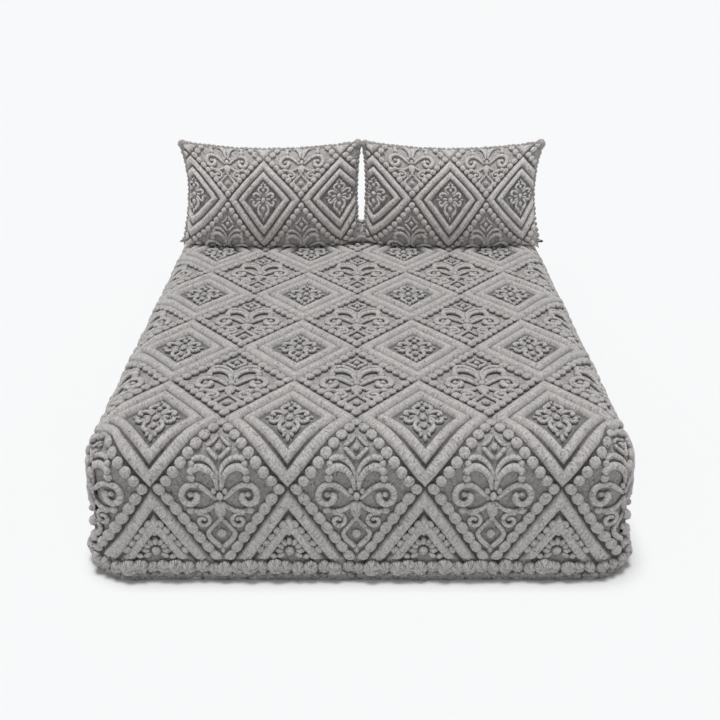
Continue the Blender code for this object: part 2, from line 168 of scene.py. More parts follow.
def fill(point, centre_x, side=1):
    """A flat panel's point on the filled pillow; side is 1 on the front and -1 on the back."""
    inner = -math.copysign(1, centre_x)
    place = pillow_place(centre_x)

    def surface(a, b):
        a, b = max(-1, min(1, a)), max(-1, min(1, b))
        x, z = seam_line(a, b, inner)
        found = place @ Vector((x, -side * (PILLOW_RIM + PILLOW_DEEP * crown(a, b)), z))
        if side > 0:
            found.z -= 0.13 * crown(a, b) * ((1 - b) / 2) ** 4
        return found

    across, up = max(-1, min(1, point.x / PANEL_X)), max(-1, min(1, point.y / PANEL_Y))
    up -= PILLOW_SAG * (1 - up * up) * (1 - across**4)  # the case is drawn down over its filling
    found = surface(across, up)
    if point.z and side > 0:
        step = 0.01
        a, b = max(-0.97, min(0.97, across)), max(-0.97, min(0.97, up))
        normal = (surface(a + step, b) - surface(a - step, b)).cross(surface(a, b + step) - surface(a, b - step))
        fade = min(1.0, (1 - max(abs(across), abs(up))) / 0.03, (1 + up) / 0.10)
        found += normal.normalized() * point.z * max(fade, 0.0)
    if side > 0:
        found.z = max(found.z, GROUND_TOP + RIDGE + TOUCH)
    return droop(found, up)


for side, centre_x in PILLOWS:
    fullest = fill(Vector((0, 0, 0)), centre_x)
    print("the", side, "pillow's fullest front is at", tuple(round(c, 3) for c in fullest))

# %% [markdown]
# The plush is a short dense pile. It could be made of hairs, but a render as small as a bed in a room
# shows it as strokes and grain, so it is made in the material: strokes that run across each ridge and out
# from the middle of each bead, fine grain everywhere, and small pits where the pile parts. The strokes
# follow a map of their own, "strands", whose first number counts across the strokes. The "height" of each
# point over the ground cloth sets painted shade: grooves are painted darkest, and open ground and the sides
# of ridges are painted darker than crests, for the shade that falls between the raised parts.

# %% The plush material


def node(tree, kind, **values):
    made = tree.nodes.new(kind)
    for key, value in values.items():
        if hasattr(made, key):
            setattr(made, key, value)
        else:
            made.inputs[key.replace("_", " ")].default_value = value
    return made


def ramp(tree, source, stops):
    made = tree.nodes.new("ShaderNodeValToRGB")
    made.color_ramp.elements[0].position, made.color_ramp.elements[1].position = stops[0][0], stops[-1][0]
    for place, _ in stops[1:-1]:
        made.color_ramp.elements.new(place)
    for element, (_, colour) in zip(made.color_ramp.elements, stops):
        element.color = (*colour, 1) if isinstance(colour, tuple) else (colour, colour, colour, 1)
    tree.links.new(source, made.inputs["Fac"])
    return made.outputs["Color"]


def times(tree, first, second, share=1.0):
    mix = tree.nodes.new("ShaderNodeMix")
    mix.data_type, mix.blend_type = "RGBA", "MULTIPLY"
    mix.inputs["Factor"].default_value = share
    tree.links.new(first, mix.inputs["A"])
    tree.links.new(second, mix.inputs["B"])
    return mix.outputs["Result"]


def plush(name, crest, groove_shade, parting=0.70):
    made = bpy.data.materials.new(name)
    made.use_nodes = True
    tree = made.node_tree
    shader = tree.nodes["Principled BSDF"]
    shader.inputs["Roughness"].default_value = 0.92
    shader.inputs["Sheen Weight"].default_value = 0.45
    shader.inputs["Sheen Roughness"].default_value = 0.5
    shader.inputs["Specular IOR Level"].default_value = 0.15
    place = tree.nodes.new("ShaderNodeTexCoord").outputs["Object"]
    strands = node(tree, "ShaderNodeUVMap", uv_map="strands").outputs["UV"]

    mapped = node(tree, "ShaderNodeMapping")
    mapped.inputs["Scale"].default_value = (215, 62, 1)
    tree.links.new(strands, mapped.inputs["Vector"])
    strokes = node(tree, "ShaderNodeTexNoise", noise_dimensions="2D", Scale=1.0, Detail=2.0, Distortion=0.8)
    tree.links.new(mapped.outputs["Vector"], strokes.inputs["Vector"])
    grain = node(tree, "ShaderNodeTexNoise", Scale=190.0, Detail=2.0, Roughness=0.6)
    patches = node(tree, "ShaderNodeTexNoise", Scale=7.0, Detail=3.0)
    pits = node(tree, "ShaderNodeTexNoise", Scale=85.0, Detail=2.0, Distortion=1.2)
    for texture in (grain, patches, pits):
        tree.links.new(place, texture.inputs["Vector"])

    # painted shade: by height over the ground cloth, the colour runs from the dark groove colour through darker
    # open ground and ridge sides up to the crest colour
    height = node(tree, "ShaderNodeAttribute", attribute_name="height").outputs["Fac"]
    shaded_ground = tuple(0.68 * c for c in crest)
    shaded_slope = tuple(0.85 * c for c in crest)
    colour = ramp(tree, height, ((0.0, groove_shade), (0.26, shaded_ground), (0.5, shaded_slope), (0.9, crest)))
    stroke_shades = ((0.33, parting), (0.5, 0.93), (0.66, 1.06))
    colour = times(tree, colour, ramp(tree, strokes.outputs["Fac"], stroke_shades))
    colour = times(tree, colour, ramp(tree, grain.outputs["Fac"], ((0.33, 0.76), (0.5, 0.95), (0.66, 1.06))))
    colour = times(tree, colour, ramp(tree, patches.outputs["Fac"], ((0.3, 0.93), (0.7, 1.0))))
    colour = times(tree, colour, ramp(tree, pits.outputs["Fac"], ((0.60, 1.0), (0.70, 0.45))))
    tree.links.new(colour, shader.inputs["Base Color"])

    bump = None
    for texture, depth, strength in ((strokes, 0.0030, 1.0), (grain, 0.0016, 0.8), (pits, -0.0030, 0.7)):
        made_bump = node(tree, "ShaderNodeBump", Strength=strength, Distance=abs(depth))
        made_bump.invert = depth < 0
        tree.links.new(texture.outputs["Fac"], made_bump.inputs["Height"])
        if bump:
            tree.links.new(bump, made_bump.inputs["Normal"])
        bump = made_bump.outputs["Normal"]
    tree.links.new(bump, shader.inputs["Normal"])
    return made


cover_plush = plush("plush", (0.63, 0.604, 0.588), (0.17, 0.163, 0.159))
# painted light: the pillows use the same plush as the cover, painted about a third lighter, for the extra light
# on the pillow fronts
lit_pillow_plush = plush("lit_pillow_plush", (0.84, 0.805, 0.784), (0.29, 0.278, 0.270))
edging_plush = plush("edging_plush", (0.60, 0.575, 0.560), (0.15, 0.144, 0.140), parting=0.45)
print("made", cover_plush.name, lit_pillow_plush.name, edging_plush.name)

# %% [markdown]
# A piece is finished in the same few steps each time: its mesh leaves bmesh, gets smooth shading and its
# material, and rides on the bed, which is the one body here.

# %% Helpers that start and finish a piece


def new_bmesh():
    bm = bmesh.new()
    bm.loops.layers.uv.new("strands")
    bm.verts.layers.float.new("height")
    return bm


def add_piece(name, bm, finish):
    mesh = bpy.data.meshes.new(name)
    bm.to_mesh(mesh)
    bm.free()
    mesh.materials.append(finish)
    mesh.shade_smooth()
    piece = bpy.data.objects.new(name, mesh)
    bpy.context.scene.collection.objects.link(piece)
    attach(piece, "root")
    print(name, "has", sum(len(p.vertices) - 2 for p in mesh.polygons), "triangles")
    return piece


ORNAMENT_HEIGHT = 0.0135  # of most scrolls; the material counts a point this high as a crest, and paints lower points with more painted shade


def set_height(bm, scale):
    """Keeps each flat point's height over the ground cloth, for the material's painted shade."""
    layer = bm.verts.layers.float["height"]
    for vertex in bm.verts:
        vertex[layer] = max(0.0, min(1.0, vertex.co.z / scale))


def as_template(bm):
    mesh = bpy.data.meshes.new("template")
    bm.to_mesh(mesh)
    bm.free()
    return mesh


def add_to(bm, piece):
    """Moves a small bmesh's whole content into another one."""
    mesh = as_template(piece)
    bm.from_mesh(mesh)
    bpy.data.meshes.remove(mesh)


def repeat(bm, template, places, scale=(1, 1, 1)):
    """Copies a template to each of these places of the flat cloth."""
    for x, y in places:
        start = len(bm.verts)
        bm.from_mesh(template)
        bm.verts.ensure_lookup_table()
        matrix = Matrix.Translation((x, y, 0)) @ Matrix.Diagonal((*scale, 1))
        bmesh.ops.transform(bm, matrix=matrix, verts=bm.verts[start:])


def cut(bm, axis, place, clear=False):
    """Cuts flat cloth along a line, and drops what lies beyond it if clear is set."""
    normal, point = Vector((0, 0, 0)), Vector((0, 0, 0))
    normal[axis], point[axis] = math.copysign(1, place), place
    geom = [*bm.verts, *bm.edges, *bm.faces]
    bmesh.ops.bisect_plane(bm, geom=geom, dist=1e-6, plane_co=point, plane_no=normal, clear_outer=clear)


# %% [markdown]
# The lattice has two kinds of diamond. Rows of ridged diamonds have two thick padded ridges, one inside
# the other, round a medallion. Rows of beaded diamonds lie between them, with a line of beads inside
# their edge and a scrolled flower. Each kind is a list of places on the flat cloth.

# %% Where the diamonds lie


def lattice(reach_x, reach_y, width=WIDTH, length=LENGTH, shift=(SHIFT, FIRST_ROW)):
    places = {"ridged": [], "beaded": []}
    for row in range(-12, 20):
        for column in range(-8, 9):
            x, y = shift[0] + column * width / 2, shift[1] + row * length / 2
            inside = abs(x) < reach_x + width / 2 and abs(y) < reach_y + length / 2
            if (row + column) % 2 and inside:
                places["beaded" if row % 2 else "ridged"].append((x, y))
    return places


cover_places = lattice(STRAIGHT_X + HEM_REACH, STRAIGHT_Y + HEM_REACH)


def on_cross(x, y):
    """Whether a diamond here touches the cross that the cloth is cut to."""
    far_x = abs(x) - WIDTH / 2 > STRAIGHT_X + DART
    far_y = abs(y) - LENGTH / 2 > STRAIGHT_Y + DART
    return not (far_x and far_y)


for kind in cover_places:
    cover_places[kind] = [p for p in cover_places[kind] if on_cross(*p)]
    print(len(cover_places[kind]), kind, "diamonds on the cover")

# %% [markdown]
# A padded ridge is round across and mitred at the diamond's corners. One square grid, whose lines crowd
# together where the ridges are, is pushed into a diamond; each point then rises by its distance from the
# nearest side. Insetting a face again and again would give the same rings, but it leaves long strips that
# can't bend over the edge of the bed. The beaded diamond uses the same grid lines, so that the two kinds
# join point to point.

# %% One diamond of each kind
OUTER_RIDGE = (0.0015, 0.0365, RIDGE)  # from and to this far inside the outline, and this high
INNER_RIDGE = (0.0440, 0.0735, RIDGE)
RIDGE_STEPS = 4
GROUND = 0.3  # the open ground counts as a little higher than a narrow groove, so the material paints less shade on it


def ridge_height(distance):
    for start, end, height in (OUTER_RIDGE, INNER_RIDGE):
        if start < distance < end:
            share = 2 * (distance - start) / (end - start) - 1
            return height * max(1 - abs(share) ** 2.4, 0.0) ** 0.5
    return 0.0


def grid_lines():
    """The grid's lines along a side of the diamond, as shares of it."""
    near = [0.0]
    for start, end, _ in (OUTER_RIDGE, INNER_RIDGE):
        middle, half = (start + end) / 2, (end - start) / 2
        near.extend(middle - half * math.cos(math.pi * i / RIDGE_STEPS) for i in range(RIDGE_STEPS + 1))
    near = [d / (2 * INRADIUS) for d in near]
    gap = 1 - 2 * near[-1]
    middle = [near[-1] + gap * i / 4 for i in range(1, 4)]
    return [*near, *middle, *(1 - share for share in reversed(near))]


def diamond(kind):
    lines = grid_lines()
    count = len(lines) - 1
    bm = new_bmesh()
    bmesh.ops.create_grid(bm, x_segments=count, y_segments=count, size=0.5)
    uv = bm.loops.layers.uv["strands"]
    cell = {}
    for vertex in bm.verts:
        cell[vertex] = (round((vertex.co.x + 0.5) * count), round((vertex.co.y + 0.5) * count))
    for face in list(bm.faces):
        corners = {cell[v]: v for v in face.verts}
        i, j = min(corners)
        if i == j:
            bmesh.utils.face_split(face, corners[i, j], corners[i + 1, j + 1])
        elif i + j == count - 1:
            bmesh.utils.face_split(face, corners[i + 1, j], corners[i, j + 1])
    for face in bm.faces:
        s = sum(lines[cell[v][0]] for v in face.verts) / len(face.verts)
        t = sum(lines[cell[v][1]] for v in face.verts) / len(face.verts)
        for loop in face.loops:
            a, b = (lines[k] * SIDE for k in cell[loop.vert])
            loop[uv].uv = (b, a) if min(s, 1 - s) < min(t, 1 - t) else (a, b)
    height = bm.verts.layers.float["height"]
    ground_from = INNER_RIDGE[1] + 0.012 if kind == "ridged" else 0.008
    for vertex in bm.verts:
        s, t = (lines[k] for k in cell[vertex])
        nearest = min(s, 1 - s, t, 1 - t) * 2 * INRADIUS
        rise = ridge_height(nearest) if kind == "ridged" else 0.0
        vertex[height] = rise / RIDGE if nearest < ground_from else GROUND
        vertex.co = ((s + t - 1) * WIDTH / 2, (s - t) * LENGTH / 2, rise)
    bmesh.ops.recalc_face_normals(bm, faces=bm.faces)
    if next(iter(bm.faces)).normal.z < 0:
        bmesh.ops.reverse_faces(bm, faces=bm.faces)
    print(kind, "diamond:", len(bm.faces), "faces")
    return as_template(bm)


diamonds = {kind: diamond(kind) for kind in ("ridged", "beaded")}

# %% [markdown]
# The cover is a cross of cloth: a top with four flaps, and the corner squares cut away so that
# neighbouring flaps meet in a seam. The lattice is cut to that cross, creased in fine lines where it
# rolls over the edge, and laid on the bed. Solidify gives it the cloth's thickness on the inside.

# %% The cover


def spare_corner(point):
    return abs(point.x) > STRAIGHT_X + DART and abs(point.y) > STRAIGHT_Y + DART


def draw_out_foot(bm):
    """Lengthens the half diamonds below the last whole row at the foot."""
    for vertex in bm.verts:
        if vertex.co.y < FOOT_ROW:
            vertex.co.y = FOOT_ROW + FOOT_STRETCH * (vertex.co.y - FOOT_ROW)


def crease(bm, steps):
    """Cuts the lines along which the cloth bends; an even number of steps puts one on the corner seams."""
    for axis, straight in ((0, STRAIGHT_X), (1, STRAIGHT_Y)):
        for side in (-1, 1):
            cut(bm, axis, side * (straight + HEM_REACH), clear=True)
            lines = [FOLD * i / steps for i in range(steps + 1)]
            for over in (*lines, PATTERN_REACH, PATTERN_REACH + 0.006):
                cut(bm, axis, side * (straight + over))


bm = new_bmesh()
for kind, places in cover_places.items():
    repeat(bm, diamonds[kind], places)
bmesh.ops.remove_doubles(bm, verts=bm.verts, dist=2e-5)
draw_out_foot(bm)
crease(bm, 6)
bmesh.ops.delete(bm, geom=[f for f in bm.faces if spare_corner(f.calc_center_median())], context="FACES")
for vertex in bm.verts:
    if max(abs(vertex.co.x) - STRAIGHT_X, abs(vertex.co.y) - STRAIGHT_Y) > PATTERN_REACH + 0.005:
        vertex.co.z = 0.0
for vertex in bm.verts:
    down = max(abs(vertex.co.x) - STRAIGHT_X, abs(vertex.co.y) - STRAIGHT_Y)
    still = vertex.is_boundary or down > PATTERN_REACH + 0.02
    vertex.co = drape(vertex.co if still else uneven(vertex.co))
cover = add_piece("cover", bm, cover_plush)
thick = cover.modifiers.new("thickness", "SOLIDIFY")
thick.thickness, thick.offset = 0.0045, -1
whole_cloth = cover.evaluated_get(bpy.context.evaluated_depsgraph_get()).to_mesh()
print("with its thickness the cover has", sum(len(p.vertices) - 2 for p in whole_cloth.polygons), "triangles")
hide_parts("fitted_sheet")

# %% [markdown]
# Beads, buds and bobbles are all tufts: a ball of pile, flat underneath where it grows out of the cloth.
# Each is a small ball squeezed to its height, with its strokes running out from the top. There are
# hundreds of them, so a ball has only a few dozen faces.

# %% A helper that adds a tuft


def tuft(bm, x, y, width, length, height, turn=0.0, segments=10, rings=5):
    """A tuft on the flat cloth, as wide and long as given, with its length turned from the y axis."""
    uv = bm.loops.layers.uv["strands"]
    made = bmesh.ops.create_uvsphere(bm, u_segments=segments, v_segments=rings, radius=1)["verts"]
    faces = {f for v in made for f in v.link_faces}
    for face in faces:
        middle = face.calc_center_median()
        heading = math.atan2(middle.y, middle.x)
        for loop in face.loops:
            co = loop.vert.co
            angle = math.atan2(co.y, co.x) if co.xy.length > 1e-4 else heading
            angle += 2 * math.pi * round((heading - angle) / (2 * math.pi))
            loop[uv].uv = (angle * 0.5 * (width + length) / 2 + x, math.acos(max(-1, min(1, co.z))) * 0.008 + y)
    for vertex in made:
        vertex.co.z = (vertex.co.z + 1) / 2 * (height + 0.0015) - 0.0015
    place = Matrix.Translation((x, y, 0)) @ Matrix.Rotation(turn, 4, "Z")
    bmesh.ops.transform(bm, matrix=place @ Matrix.Diagonal((width / 2, length / 2, 1, 1)), verts=made)
    return made


# %% [markdown]
# A line of round beads runs inside each beaded diamond, one on each corner and seven between. They lie on
# the diamond's outline drawn smaller.

# %% The beads of one diamond


BEAD_WIDTH, BEAD_HEIGHT, BEAD_INSET = 0.0300, 0.0165, 0.0185
BEADS_A_SIDE = 8
BEAD_TOUCH = 1.04  # how much longer than its share of the line a bead is, so that it touches the next


def bead_line(drawn_out=1.0, swell=0.0, run_on=BEAD_TOUCH):
    """The beads along each side in turn, from the right corner round by the head end.

    On the two sides towards the foot each is longer than its share of the line by run_on, so that neighbours
    can grow into one another.
    """
    bm = new_bmesh()
    corners = []
    for x, y in ((1, 0), (0, 1), (-1, 0), (0, -1)):
        low = LENGTH / 2 * (drawn_out if y < 0 else 1.0)
        inradius = WIDTH / 2 * low / math.hypot(WIDTH / 2, low)
        corners.append(Vector((x * WIDTH / 2, y * low)) * (1 - BEAD_INSET / inradius))
    for i in range(4):
        start, end = corners[i], corners[(i + 1) % 4]
        heading = math.atan2(end.y - start.y, end.x - start.x) - math.pi / 2
        pitch = (end - start).length / BEADS_A_SIDE
        for k in range(BEADS_A_SIDE):
            spot = start.lerp(end, k / BEADS_A_SIDE)
            size = 1 + swell * min(1.0, 1.6 * (1 - abs(spot.y) / (LENGTH / 2)))
            length = pitch * (run_on if spot.y < 0 else BEAD_TOUCH)
            tuft(bm, spot.x, spot.y, BEAD_WIDTH * size, length, BEAD_HEIGHT, heading, rings=6)
    return as_template(bm)


beads = bead_line()
foot_beads = bead_line(FOOT_STRETCH, swell=0.10, run_on=1.22)
print("beads in one diamond:", len(beads.polygons), "faces")

# %% [markdown]
# A scroll is a rope of pile laid on the cloth. Its line is drawn by a few points and smoothed, or wound
# as a spiral by a formula. A grid wrapped round that line makes the rope: round on top, flat underneath,
# and drawn to a closed point at both ends.

# %% Helpers that draw and wind scrolls


def smooth_line(points, step=0.008):
    """A smooth line through given points, with a point about every step."""
    points = [Vector(p) for p in points]
    count = len(points)
    line = []
    for i in range(count - 1):
        p = [points[max(0, min(count - 1, i + k))] for k in (-1, 0, 1, 2)]
        cuts = max(2, round((p[2] - p[1]).length / step))
        for k in range(cuts):
            t = k / cuts
            line.append(
                0.5
                * (
                    2 * p[1]
                    + (p[2] - p[0]) * t
                    + (2 * p[0] - 5 * p[1] + 4 * p[2] - p[3]) * t**2
                    + (3 * p[1] - p[0] - 3 * p[2] + p[3]) * t**3
                )
            )
    return [*line, points[-1]]


def spiral(centre, start_radius, end_radius, start_angle, turns, step=0.008):
    """Points that wind inwards round a centre; turns is negative if they wind clockwise."""
    length = abs(turns) * math.pi * (start_radius + end_radius)
    cuts = max(6, round(length / step))
    line = []
    for i in range(cuts + 1):
        share = i / cuts
        angle = start_angle + turns * 2 * math.pi * share
        radius = start_radius + (end_radius - start_radius) * share**0.8
        line.append(Vector(centre) + radius * Vector((math.cos(angle), math.sin(angle))))
    return line


SECTION = [math.radians(a) for a in (0, 48, 90, 132, 180, 270)]


def rope(bm, line, width, height, taper=(0.6, 1.0)):
    """A rope of pile along a line of the flat cloth."""
    uv = bm.loops.layers.uv["strands"]
    sides, count = len(SECTION), len(line) - 1
    lengths = [0.0]
    for a, b in zip(line, line[1:]):
        lengths.append(lengths[-1] + (b - a).length)
    total = lengths[-1]
    made = bmesh.ops.create_grid(bm, x_segments=count, y_segments=sides, size=0.5)["verts"]
    places = {v: (round((v.co.x + 0.5) * count), round((v.co.y + 0.5) * sides)) for v in made}
    for face in {f for v in made for f in v.link_faces}:
        for loop in face.loops:
            i, j = places[loop.vert]
            loop[uv].uv = (lengths[i] + line[0].x, j * 0.006 + line[0].y)
    for vertex, (i, j) in places.items():
        here = line[i]
        along = (line[min(i + 1, count)] - line[max(i - 1, 0)]).normalized()
        size = taper[0] + (taper[1] - taper[0]) * min(1.0, 1.6 * lengths[i] / total)
        to_end = min(lengths[i], total - lengths[i]) / (width / 2)
        size *= (1 - (1 - min(1.0, to_end)) ** 2) ** 0.5
        angle = SECTION[j % sides]
        side = math.cos(angle) * width / 2 * size
        rise = (math.sin(angle) + 1) / 2 * (height * (0.35 + 0.65 * size) + 0.0015) - 0.0015
        if size == 0:
            rise = 0.3 * height
        vertex.co = (here.x - along.y * side, here.y + along.x * side, rise)
    bmesh.ops.remove_doubles(bm, verts=made, dist=1e-6)


# %% [markdown]
# The scrolled flower of a beaded diamond is the same on both sides of its middle line. From the head end
# down it has a small open lozenge, two pairs of plumes, a knot from which big scrolls curl to the sides,
# two branches with small scrolls under them, a leaf, and an open lozenge with a bead at the foot end.

# %% The scrolled flower of one beaded diamond


def flower():
    bm = new_bmesh()
    for side in (1, -1):

        def drawn(points, width, height, taper=(0.6, 1.0)):
            line = smooth_line(points) if isinstance(points[0], tuple) else points
            rope(bm, [Vector((side * p[0], p[1])) for p in line], width, height, taper=taper)

        plume = ((0.004, 0.022), (0.006, 0.050), (0.019, 0.074), (0.041, 0.089), (0.063, 0.089), (0.075, 0.079))
        drawn(plume, 0.0155, 0.0135)
        tuft(bm, side * 0.073, 0.073, 0.020, 0.022, 0.0140, segments=8)
        plume = ((0.005, -0.006), (0.010, 0.028), (0.025, 0.053), (0.050, 0.065), (0.072, 0.057), (0.080, 0.041))
        drawn(plume, 0.0215, 0.0150)
        tuft(bm, side * 0.076, 0.034, 0.024, 0.026, 0.0150, segments=8)
        tuft(bm, side * 0.016, -0.006, 0.017, 0.021, 0.0130, segments=8)
        big = [(0.008, -0.034), (0.030, -0.012), (0.051, 0.006), (0.075, 0.014), (0.097, 0.003), (0.105, -0.020)]
        big += [(0.098, -0.040), (0.081, -0.047), (0.066, -0.037), (0.063, -0.021), (0.073, -0.011)]
        drawn(tuple(big), 0.0210, 0.0150, taper=(0.6, 1.0))
        tuft(bm, side * 0.080, -0.017, 0.018, 0.018, 0.0135, segments=8)
        branch = ((0.006, -0.040), (0.022, -0.058), (0.042, -0.069), (0.062, -0.071), (0.078, -0.066))
        drawn(branch, 0.0155, 0.0135)
        tuft(bm, side * 0.083, -0.067, 0.025, 0.024, 0.0145, segments=8)
        drawn(spiral((0.051, -0.101), 0.027, 0.005, 0.7, 1.4, 0.006), 0.0140, 0.0135, taper=(0.9, 1.0))
        drawn(((0.001, 0.084), (0.016, 0.099), (0.034, 0.118)), 0.0125, 0.0130, taper=(1.0, 1.0))
        drawn(((0.035, 0.119), (0.016, 0.132), (0.001, 0.155)), 0.0120, 0.0130, taper=(1.0, 0.8))
        lozenge = (
            (0.003, -0.094),
            (0.017, -0.113),
            (0.037, -0.139),
            (0.028, -0.163),
            (0.012, -0.178),
            (0.001, -0.190),
        )
        drawn(lozenge, 0.0165, 0.0135)
    tuft(bm, 0, 0.118, 0.020, 0.022, 0.0150, segments=8)
    tuft(bm, 0, -0.022, 0.021, 0.028, 0.0155, segments=8)
    tuft(bm, 0, -0.063, 0.035, 0.056, 0.0150)
    tuft(bm, 0, -0.090, 0.016, 0.026, 0.0125, segments=8)
    tuft(bm, 0, -0.143, 0.027, 0.028, 0.0150, segments=8)
    tuft(bm, 0, -0.196, 0.016, 0.024, 0.0125, segments=7)
    return as_template(bm)


flowers = flower()
print("flower:", len(flowers.polygons), "faces")

# %% [markdown]
# The medallion inside a ridged diamond is a small dense rosette: a bead with a leaf on each side, a
# hooped bead above and below, four curls that fill the corners between them, and a tip of small leaves at
# each end.

# %% The medallion of one ridged diamond


def medallion():
    bm = new_bmesh()
    for side in (1, -1):

        def drawn(points, width, height=0.0130):
            line = smooth_line(points, 0.007)
            rope(bm, [Vector((side * p.x, p.y)) for p in line], width, height, taper=(0.8, 1.0))

        drawn(((0.012, -0.013), (0.025, -0.024), (0.030, -0.042), (0.022, -0.057), (0.007, -0.062)), 0.0150)
        drawn(((0.007, 0.028), (0.023, 0.035), (0.029, 0.048), (0.017, 0.060), (0.001, 0.060)), 0.0140)
        curl = (
            (0.012, -0.006),
            (0.028, -0.010),
            (0.040, -0.023),
            (0.055, -0.021),
            (0.058, -0.009),
            (0.047, -0.005),
        )
        drawn(curl, 0.0135)
        curl = ((0.012, 0.013), (0.024, 0.023), (0.041, 0.030), (0.056, 0.025), (0.055, 0.014), (0.042, 0.014))
        drawn(curl, 0.0135)
        tuft(bm, side * 0.029, 0.004, 0.030, 0.013, 0.0115, segments=8)
        tuft(bm, side * 0.066, 0.002, 0.024, 0.010, 0.0095, segments=7)
        tuft(bm, side * 0.014, 0.027, 0.011, 0.013, 0.0105, side * 0.5, segments=7)
        tuft(bm, side * 0.012, -0.069, 0.012, 0.018, 0.0105, side * 0.6, segments=7)
        tuft(bm, side * 0.010, 0.073, 0.013, 0.016, 0.0105, -side * 0.5, segments=7)
    tuft(bm, 0, 0, 0.023, 0.025, 0.0140)
    tuft(bm, 0, -0.037, 0.022, 0.027, 0.0130, segments=8)
    tuft(bm, 0, 0.045, 0.019, 0.020, 0.0130, segments=8)
    tuft(bm, 0, -0.079, 0.014, 0.024, 0.0110, segments=7)
    tuft(bm, 0, 0.082, 0.009, 0.016, 0.0090, segments=7)
    bmesh.ops.transform(bm, matrix=Matrix.Diagonal((0.90, 1.12, 1, 1)), verts=bm.verts)
    return as_template(bm)


def half_rosette():
    """What the lower edge of the foot leaves of a medallion: petals round a bead, and buds up to a tip."""
    bm = new_bmesh()
    tuft(bm, 0, 0, 0.026, 0.028, 0.0150)
    for k in range(-1, 8):
        angle = math.pi / 6 * k
        x, y = 0.029 * math.cos(angle), 0.031 * math.sin(angle)
        tuft(bm, x, y, 0.017, 0.027, 0.0130, angle - math.pi / 2, segments=8)
    for x, y, width, length in ((0.0, 0.064, 0.022, 0.030), (0.0, 0.090, 0.014, 0.022)):
        tuft(bm, x, y, width, length, 0.0130, segments=8)
    buds = ((0.021, 0.052, 0.5), (0.040, 0.033, 0.9), (0.053, 0.008, 1.2), (0.047, -0.018, -1.2))
    fringe = (
        (0.018, 0.088, 0.7),
        (0.034, 0.068, 0.7),
        (0.050, 0.047, 0.7),
        (0.066, 0.026, 0.7),
        (0.082, 0.004, 0.7),
    )
    for places, width, length in ((buds, 0.017, 0.023), (fringe, 0.019, 0.027)):
        for x, y, turn in places:
            for side in (1, -1):
                tuft(bm, side * x, y, width, length, 0.0150, side * turn, segments=8)
    return as_template(bm)


medallions, half_rosettes = medallion(), half_rosette()
print("medallion:", len(medallions.polygons), "faces")

# %% [markdown]
# The ornament is copied to its diamonds, cut off with the cloth at the hem and at the sewn corners, and
# laid over the bed by the same helper as the cover, so every bead sits on its own spot of cloth.

# %% Ornament on the cover


def trim_to_cover(bm):
    end = PATTERN_REACH + 0.002
    for axis, straight in ((0, STRAIGHT_X), (1, STRAIGHT_Y)):
        for side in (-1, 1):
            cut(bm, axis, side * (straight + end), clear=True)
            cut(bm, axis, side * (straight + DART))
    bmesh.ops.delete(bm, geom=[f for f in bm.faces if spare_corner(f.calc_center_median())], context="FACES")
    bmesh.ops.holes_fill(bm, edges=[e for e in bm.edges if e.is_boundary], sides=0)


def crosses_a_cut(place):
    """Whether a diamond here reaches a line where the cloth is cut."""
    past_x = abs(place[0]) + WIDTH / 2 - STRAIGHT_X
    past_y = abs(place[1]) + LENGTH / 2 * FOOT_STRETCH - STRAIGHT_Y
    return max(past_x, past_y) > PATTERN_REACH or min(past_x, past_y) > DART


def ornament(name, *templates):
    """Each template comes with the places that it is copied to."""
    bm, rim = new_bmesh(), new_bmesh()
    for template, places in templates:
        repeat(bm, template, [p for p in places if not crosses_a_cut(p)])
        repeat(rim, template, [p for p in places if crosses_a_cut(p)])
    trim_to_cover(rim)
    repeat(bm, as_template(rim), [(0, 0)])
    set_height(bm, ORNAMENT_HEIGHT)
    for vertex in bm.verts:
        vertex.co = drape(uneven(vertex.co))
    bmesh.ops.recalc_face_normals(bm, faces=bm.faces)
    return add_piece(name, bm, cover_plush)


foot = [(x, y) for x, y in cover_places["beaded"] if y < FOOT_ROW + 0.01]
other = [(x, y) for x, y in cover_places["beaded"] if y >= FOOT_ROW + 0.01]
whole = [(x, y) for x, y in cover_places["ridged"] if y > FOOT_ROW]
halves = [(x, y + 0.033) for x, y in cover_places["ridged"] if y < FOOT_ROW]
cover_ornament = [
    ornament("cover_beads", (beads, other), (foot_beads, foot)),
    ornament("cover_scrolls", (flowers, cover_places["beaded"])),
    ornament("cover_medallions", (medallions, whole), (half_rosettes, halves)),
]

# %% [markdown]
# Along the hem two rows of bobbles are sewn one above the other, the lower ones smaller and tucked under.
# They are tufts on the wall of the bed, each a little different. A point that travels round the hem gives
# their places.

# %% The bobble edging round the hem


def round_hem(distance, half_x, half_y, radius):
    """A point of the hem and its outward direction, starting at the middle of the foot side."""
    straight_x, straight_y = half_x - radius, half_y - radius
    quarter = radius * math.pi / 2
    whole_x, whole_y = 2 * straight_x, 2 * straight_y
    runs = [straight_x, quarter, whole_y, quarter, whole_x, quarter, whole_y, quarter, straight_x]
    left, i = distance % sum(runs), 0
    while left > runs[i] and i < 8:
        left -= runs[i]
        i += 1
    heading = (i // 2) * math.pi / 2 - math.pi / 2
    centre = ((1, -1), (1, 1), (-1, 1), (-1, -1))[(i // 2) % 4]
    if i % 2:
        out = Vector((math.cos(heading + left / radius), math.sin(heading + left / radius), 0))
        return Vector((centre[0] * straight_x, centre[1] * straight_y, 0)) + radius * out, out
    out = Vector((math.cos(heading), math.sin(heading), 0))
    along = Vector((-out.y, out.x, 0))
    start = (
        (0, -half_y),
        (half_x, -straight_y),
        (straight_x, half_y),
        (-half_x, straight_y),
        (-straight_x, -half_y),
    )[i // 2]
    return Vector((*start, 0)) + left * along, out


